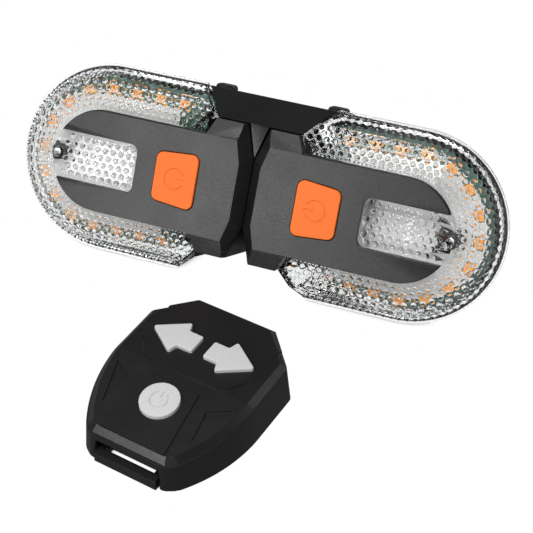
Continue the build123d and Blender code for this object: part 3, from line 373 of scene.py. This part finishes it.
def eased(node, width, angle=30.0, segments=2, corners=0.0):
    """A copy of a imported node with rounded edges, and rounder upright corners, in place of the node."""
    bm = merged_copy(node)
    bmesh.ops.dissolve_limit(bm, angle_limit=math.radians(FLAT_ANGLE), verts=bm.verts, edges=bm.edges)
    upright = bm.edges.layers.float.new("bevel_weight_edge")
    for edge in bm.edges:
        along = edge.verts[1].co - edge.verts[0].co
        stands = abs(along.z) > max(UPRIGHT_LENGTH * MM, UPRIGHT_SHARE * along.length)
        if corners and stands and edge.calc_face_angle_signed(0) > CORNER_TURN:
            edge[upright] = 1.0
    piece = add_piece("eased_" + node, bm, slot_of[node], body_of[node])
    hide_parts(node)
    if corners:
        bevel = piece.modifiers.new("Round corners", "BEVEL")
        bevel.width = corners * MM
        bevel.segments = CORNER_SEGMENTS
        bevel.limit_method = "WEIGHT"
    return soften(piece, width, angle, segments)


def paint(piece, second, is_first):
    """Gives the faces that fail the test the second material. The test has their centre and normal, so the colour
    can follow which way a face turns, as painted light and shade.
    """
    piece.data.materials.append(finish_for(second))
    to_light = light_at.inverted()
    for face in piece.data.polygons:
        centre = (to_light @ face.center) / MM
        if not is_first(centre, to_light.to_3x3() @ face.normal):
            face.material_index = 1


def on_bezel_face(centre, normal):
    """True on the grained front of a bezel, with its sloped margins. The faces turned away from it take the darker
    case black, as painted shade.
    """
    margin = max(0.0, abs(centre.y) - BEZEL_HALF)
    return normal.z > BEZEL_FACING and centre.z > BEZEL_FRONT - margin * BEZEL_FALL


def off_wedge(centre, normal):
    """True away from the front of the bracket's wedge between the pods. There the bracket stays case black; the
    wedge's front takes the lighter grained grey as painted light.
    """
    return abs(centre.x) > WEDGE_HALF or centre.y > WEDGE_TOP or normal.z < WEDGE_FACING


def dress(*nodes):
    """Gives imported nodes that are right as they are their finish."""
    for node in nodes:
        for slot in frame["nodes"][node].material_slots:
            slot.material = finish_for(slot_of[node])


def strength_by_ray(tree, shader, camera, through, diffuse, other):
    """Sets how bright a stage surface looks to the camera, through clear plastic, and as light."""
    path = tree.nodes.new("ShaderNodeLightPath")
    rest = other
    levels = (("Is Diffuse Ray", diffuse), ("Is Transmission Ray", through), ("Is Camera Ray", camera))
    for ray, value in levels:
        step = tree.nodes.new("ShaderNodeMix")
        tree.links.new(path.outputs[ray], step.inputs["Factor"])
        for socket, given in (("A", rest), ("B", value)):
            if isinstance(given, float):
                step.inputs[socket].default_value = given
            else:
                tree.links.new(given, step.inputs[socket])
        rest = step.outputs["Result"]
    tree.links.new(rest, shader.inputs["Strength"])


def view_matrix():
    """The camera's place and turn in the scene."""
    to_camera = (Matrix.Rotation(VIEW_TURN[2], 4, "Z") @ Matrix.Rotation(VIEW_TURN[0], 4, "X")
                 @ Matrix.Rotation(VIEW_TURN[1], 4, "Y"))
    away = to_camera.transposed()
    return light_at @ Matrix.Translation(-(away @ VIEW_PLACE)) @ away


def mirror_place(x, distance):
    """Where a light stands so that the bezel's face at x mirrors it to the camera."""
    point = light_at @ Vector((x, 0, 0))
    seen = (view_matrix().translation - point).normalized()
    return point + (2 * seen.dot(face_out) * face_out - seen) * distance


# Stage

FLOOR_HALF = 3.0
SHADE_REACH = 7           # how far the shade painted on the floor near the parts reaches, in millimetres
OVERHEAD_AT = (-0.05, -0.26, 0.7)
OVERHEAD_AIM = (0, -0.02, 0.02)
SHEEN_X = -0.012          # where along the bezels the front light is mirrored
FRONT_DISTANCE = 0.5
SKY_LEVEL = 1.0           # the backdrop as the camera sees it
THROUGH_LEVEL = 0.9       # floor and backdrop as seen through clear plastic
HORIZON_LEVEL = 1.2       # the backdrop's low rear part, as glossy pieces mirror it
DARK_LEVEL = 0.04         # and the rest of it


def fade(tree, value, **ends):
    """A map range node on a value, given as its output socket."""
    node = tree.nodes.new("ShaderNodeMapRange")
    for label, end in ends.items():
        node.inputs[label.replace("_", " ").title()].default_value = end
    tree.links.new(value, node.inputs["Value"])
    return node.outputs["Result"]


class SIGNAL_OT_stage(bpy.types.Operator):
    """Pale floor, soft light and the camera at the photograph's place"""
    bl_idname = "signal.stage"
    bl_label = "Stage"

    def execute(self, context):
        self.add_floor(context.scene)
        self.add_backdrop(context.scene)
        self.add_lights(context.scene)
        self.add_camera(context.scene)
        context.scene.view_settings.view_transform = "Standard"
        return {"FINISHED"}

    def add_floor(self, scene):
        bm = bmesh.new()
        bmesh.ops.create_grid(bm, x_segments=1, y_segments=1, size=FLOOR_HALF)
        mesh = bpy.data.meshes.new("floor")
        bm.to_mesh(mesh)
        bm.free()
        floor = bpy.data.objects.new("floor", mesh)
        scene.collection.objects.link(floor)
        pale = bpy.data.materials.new("Pale floor")
        pale.use_nodes = True
        tree = pale.node_tree
        tree.nodes.remove(tree.nodes["Principled BSDF"])
        glow = tree.nodes.new("ShaderNodeEmission")
        # The floor's glow dims where ambient occlusion finds the parts close by: painted shade under and beside
        # them, darkest in their hollows
        shade = tree.nodes.new("ShaderNodeAmbientOcclusion")
        shade.inputs["Distance"].default_value = SHADE_REACH * MM
        open_floor = fade(tree, shade.outputs["AO"], from_min=0.05, from_max=0.3)
        strength_by_ray(tree, glow, open_floor, through=THROUGH_LEVEL, diffuse=0.3, other=0.15)
        tree.links.new(glow.outputs[0], tree.nodes["Material Output"].inputs["Surface"])
        mesh.materials.append(pale)

    def add_backdrop(self, scene):
        world = bpy.data.worlds.new("Studio")
        scene.world = world
        world.use_nodes = True
        tree = world.node_tree
        sky = tree.nodes["Background"]
        sky.inputs["Color"].default_value = (1, 1, 1, 1)
        towards = tree.nodes.new("ShaderNodeSeparateXYZ")
        tree.links.new(tree.nodes.new("ShaderNodeTexCoord").outputs["Generated"], towards.inputs[0])
        low = fade(tree, towards.outputs["Z"], from_min=0.3, from_max=0.5,
                   to_min=HORIZON_LEVEL, to_max=DARK_LEVEL)
        rear = fade(tree, towards.outputs["Y"], from_min=-0.1, from_max=0.3,
                    to_min=DARK_LEVEL, to_max=HORIZON_LEVEL)
        strength_by_ray(tree, sky, SKY_LEVEL, through=THROUGH_LEVEL, diffuse=0.5,
                        other=maths(tree, "MINIMUM", low, rear))

    def add_lights(self, scene):
        for name, place, aim, size, power in (
                ("overhead_light", Vector(OVERHEAD_AT), OVERHEAD_AIM, 0.36, 3.4),
                ("front_light", mirror_place(SHEEN_X, FRONT_DISTANCE), (SHEEN_X, 0, 0.03), 0.18, 0.85)):
            light = bpy.data.lights.new(name, "AREA")
            light.size = size
            light.energy = power
            lamp = bpy.data.objects.new(name, light)
            scene.collection.objects.link(lamp)
            lamp.location = place
            lamp.rotation_euler = (place - Vector(aim)).to_track_quat("Z", "Y").to_euler()

    def add_camera(self, scene):
        camera = bpy.data.cameras.new("camera")
        camera.lens = LENS_LENGTH
        camera.sensor_width = SENSOR_WIDTH
        viewer = bpy.data.objects.new("camera", camera)
        scene.collection.objects.link(viewer)
        viewer.matrix_world = view_matrix()
        scene.camera = viewer


# Where the clear lens has its band, wall and window, in the light's own axes and in millimetres
BAND_ARC_X = 49.9
BAND_IN = (16.3, -2.3)
BAND_OUT = (25.7, -5.0)
WALL_FOOT = (29.2, -11.4)
BAND_ROWS = 5
WINDOW_TOP = -1.0
WINDOW_HALF = 7.0
WINDOW_START = 38.5
WINDOW_END = 61.4
WINDOW_ROWS = 6
LENS_END = ((15.85, 16.6), (13.6, 21.2), (21.5, 29.9))    # corners of the slanted inner end: x and height
TOOTH_RADIUS = 0.4        # the small lenslets beside the bezel
TOOTH_INSET = 0.45        # and how far they stand from it
LENSLET_CLEAR = 1.5       # room at the slanted end, in lenslet radii
POINT_CLEAR = 1.4         # and before the wall's points, in millimetres
POINT_RADIUS = 0.47       # a point of the wall, in shares of the pitch
POINT_HEIGHT = 0.36
POINT_LIFT = 0.3          # how much of its height is lifted over the wall's middle plane


def end_x(y):
    """The lens's slanted inner end at a height on the face."""
    at_bezel, at_block, at_rim = LENS_END
    near, far = (at_bezel, at_block) if abs(y) < at_block[1] else (at_block, at_rim)
    return near[0] + (far[0] - near[0]) * (abs(y) - near[1]) / (far[1] - near[1])


def stand_on(x, y, z, turn, tilt):
    """Frame at a point of the lens, turned along the band's path and tilted with its surface."""
    return (Matrix.Translation(Vector((x, y, z)) * MM) @ Matrix.Rotation(math.radians(turn), 4, "Z")
            @ Matrix.Rotation(tilt, 4, "Y"))


def shape_mesh(create, **sizes):
    """A mesh with one shape from a bmesh operator, to be placed many times."""
    bm = bmesh.new()
    create(bm, **sizes)
    mesh = bpy.data.meshes.new("shape")
    bm.to_mesh(mesh)
    bm.free()
    return mesh


def add_shape(bm, shape, place):
    """Adds the shape at a place."""
    there = shape.copy()
    there.transform(place)
    bm.from_mesh(there)
    bpy.data.meshes.remove(there)


def along_band(ring, middle, clear, pitch, half_step):
    """Places at a radius, in step with the other rows round the same middle radius: x, y and turn."""
    start = 0.5 * half_step
    straight = int((BAND_ARC_X - end_x(ring) - clear) / pitch - start)
    for side in (1, -1):
        for step in range(1 - half_step, straight + 1):
            yield BAND_ARC_X - (step + start) * pitch, side * ring, side * 90.0
    count = round(math.pi * middle / pitch)
    for step in range(count + 1 - half_step):
        turn = math.pi * (0.5 - (step + start) / count)
        yield BAND_ARC_X + ring * math.cos(turn), ring * math.sin(turn), math.degrees(turn)


def add_lenslets(bm, sizes):
    """Lenslets of the lamp band and the slot window, for the right pod in its own axes."""
    radius, pitch = sizes.lenslet_radius, sizes.window_pitch
    dome = shape_mesh(bmesh.ops.create_uvsphere, u_segments=12, v_segments=8, radius=MM,
                      matrix=Matrix.Diagonal((radius, radius, sizes.lenslet_rise, 1)))
    across, down = BAND_OUT[0] - BAND_IN[0], BAND_IN[1] - BAND_OUT[1]
    slope = math.atan2(down, across)
    middle = (BAND_IN[0] + BAND_OUT[0]) / 2
    rows = [(radius + sizes.row_pitch * row, sizes.lenslet_pitch, radius) for row in range(BAND_ROWS)]
    rows.append((math.hypot(across, down) - TOOTH_INSET, sizes.lenslet_pitch / 2, TOOTH_RADIUS))
    for row, (run, step, wide) in enumerate(rows):
        ring = BAND_OUT[0] - run * math.cos(slope)
        z = BAND_OUT[1] + run * math.sin(slope)
        for x, y, turn in along_band(ring, middle, LENSLET_CLEAR * radius, step, row % 2):
            add_shape(bm, dome, stand_on(x, y, z, turn, slope) @ Matrix.Scale(wide / radius, 4))
    for row in range(-WINDOW_ROWS // 2, WINDOW_ROWS // 2):
        y = (row + 0.5) * WINDOW_HALF / (WINDOW_ROWS / 2)
        shift = 0.5 * (row % 2)
        for step in range(int((WINDOW_END - WINDOW_START) / pitch - shift) + 1):
            add_shape(bm, dome, stand_on(WINDOW_START + (step + shift) * pitch, y, WINDOW_TOP, 0, 0))
    bpy.data.meshes.remove(dome)


def add_points(bm, pitch):
    """Four-sided points of the side wall, for the right pod in its own axes."""
    high = POINT_HEIGHT * pitch * MM
    point = shape_mesh(bmesh.ops.create_cone, cap_ends=True, segments=4, radius1=POINT_RADIUS * pitch * MM,
                       radius2=0.0, depth=high, matrix=Matrix.Translation((0, 0, high * POINT_LIFT)))
    wall = Vector((WALL_FOOT[0] - BAND_OUT[0], WALL_FOOT[1] - BAND_OUT[1]))
    lean = math.atan2(-wall.y, wall.x)
    middle = (BAND_OUT[0] + WALL_FOOT[0]) / 2
    edge = pitch / 2
    rows = round((wall.length - 2 * edge) / edge)
    for row in range(rows + 1):
        share = (edge + (wall.length - 2 * edge) * row / rows) / wall.length
        ring = BAND_OUT[0] + wall.x * share
        z = BAND_OUT[1] + wall.y * share
        for x, y, turn in along_band(ring, middle, POINT_CLEAR, pitch, row % 2):
            add_shape(bm, point, stand_on(x, y, z, turn, lean))
    bpy.data.meshes.remove(point)


def lens_details(sizes, side):
    """An object with the lenslets and points of one side's lens, in place."""
    bm = bmesh.new()
    add_lenslets(bm, sizes)
    add_points(bm, sizes.prism_pitch)
    if side == "left":
        bmesh.ops.scale(bm, vec=(-1, 1, 1), verts=bm.verts)
        bmesh.ops.reverse_faces(bm, faces=bm.faces)
    bmesh.ops.transform(bm, matrix=light_at, verts=bm.verts)
    mesh = bpy.data.meshes.new("lens_details")
    bm.to_mesh(mesh)
    bm.free()
    tool = bpy.data.objects.new("lens_details", mesh)
    bpy.context.scene.collection.objects.link(tool)
    return tool


class SIGNAL_OT_lenses(bpy.types.Operator):
    """Clear lenses with their moulded lenslets and the points of the side wall"""
    bl_idname = "signal.lenses"
    bl_label = "Lenses"

    def execute(self, context):
        for side in SIDES:
            node = side + "_lens"
            tool = lens_details(context.scene.signal_sizes, side)
            piece = add_piece("detailed_" + node, merged_copy(node), slot_of[node], body_of[node])
            join = piece.modifiers.new("Lenslets", "BOOLEAN")
            join.operation = "UNION"
            join.solver = "MANIFOLD"
            join.object = tool
            context.view_layer.update()
            joined = bpy.data.meshes.new_from_object(piece.evaluated_get(context.evaluated_depsgraph_get()))
            piece.modifiers.clear()
            plain, piece.data = piece.data, joined
            if len(joined.polygons) <= len(plain.polygons):
                raise RuntimeError("the lenslets did not join " + node)
            bpy.data.meshes.remove(plain)
            bpy.data.meshes.remove(tool.data)
            joined.name = piece.name
            joined.shade_smooth()
            joined.set_sharp_from_angle(angle=math.radians(30))
            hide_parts(node)
        return {"FINISHED"}


class SIGNAL_OT_pods(bpy.types.Operator):
    """Bezels, rear covers, buttons and what stands inside the pods"""
    bl_idname = "signal.pods"
    bl_label = "Pods"

    def execute(self, context):
        for side in SIDES:
            # The bezel's faces turned away from the front take the darker case black: painted shade on its sides
            paint(eased(side + "_bezel", 0.25), "case_black", on_bezel_face)
            eased(side + "_rear_cover", 0.3)
            eased(side + "_button", 0.2)
            eased(side + "_port_flap", 0.15)
            for name in ("pcb", "amber_leds", "reflector", "gasket", "battery", "power_switch", "usb_socket",
                         "case_screws"):
                dress(side + "_" + name)
        return {"FINISHED"}


class SIGNAL_OT_bracket(bpy.types.Operator):
    """Centre bracket, its latches and the seat post clamp"""
    bl_idname = "signal.bracket"
    bl_label = "Bracket and clamp"

    def execute(self, context):
        # The bracket stays case black but for its wedge's front, which takes the lighter grained grey: painted
        # light on the face turned to the front
        paint(eased("bracket", 0.35), "bezel_grey", off_wedge)
        eased("right_latch", 0.25)
        eased("left_latch", 0.25)
        eased("post_clamp", 0.3)
        eased("clamp_screw", 0.2)
        dress("clamp_liner", "clamp_nut", "clamp_base_screws")
        return {"FINISHED"}


class SIGNAL_OT_remote(bpy.types.Operator):
    """Hand remote: shells, keys, door and what is inside"""
    bl_idname = "signal.remote"
    bl_label = "Remote"

    def execute(self, context):
        eased("remote_top_shell", 0.4, 12.0, 3, corners=1.5)
        eased("remote_bottom_cover", 0.3)
        eased("battery_door", 0.2)
        for node in ("right_arrow_key", "left_arrow_key", "power_key"):
            eased(node, 0.2)
        dress("remote_pcb", "remote_switches", "coin_cell", "cell_clip", "door_seal", "remote_screws",
              "remote_pads")
        return {"FINISHED"}


class SIGNAL_PT_panel(bpy.types.Panel):
    """Sizes, colours and pieces of the turn signal light"""
    bl_idname = "SIGNAL_PT_panel"
    bl_label = "Turn signal light"
    bl_space_type = "VIEW_3D"
    bl_region_type = "UI"
    bl_category = "Turn signal"

    def draw(self, context):
        column = self.layout.column()
        for label in ("lenslet_pitch", "row_pitch", "lenslet_radius", "lenslet_rise", "window_pitch",
                      "prism_pitch"):
            column.prop(context.scene.signal_sizes, label)
        for label in ("button", "bezel", "case", "key"):
            column.prop(context.scene.signal_colours, label)
        for step in STEPS:
            column.operator(step.bl_idname)


STEPS = (SIGNAL_OT_stage, SIGNAL_OT_lenses, SIGNAL_OT_pods, SIGNAL_OT_bracket, SIGNAL_OT_remote)
CLASSES = (SignalSizes, SignalColours, *STEPS, SIGNAL_PT_panel)


def register():
    for kind in CLASSES:
        bpy.utils.register_class(kind)
    bpy.types.Scene.signal_sizes = bpy.props.PointerProperty(type=SignalSizes)
    bpy.types.Scene.signal_colours = bpy.props.PointerProperty(type=SignalColours)


def unregister():
    del bpy.types.Scene.signal_colours
    del bpy.types.Scene.signal_sizes
    for kind in reversed(CLASSES):
        bpy.utils.unregister_class(kind)


def main():
    register()
    bpy.ops.signal.stage()
    bpy.ops.signal.lenses()
    bpy.ops.signal.pods()
    bpy.ops.signal.bracket()
    bpy.ops.signal.remote()
    bpy.context.view_layer.update()


if __name__ == "__main__":
    main()
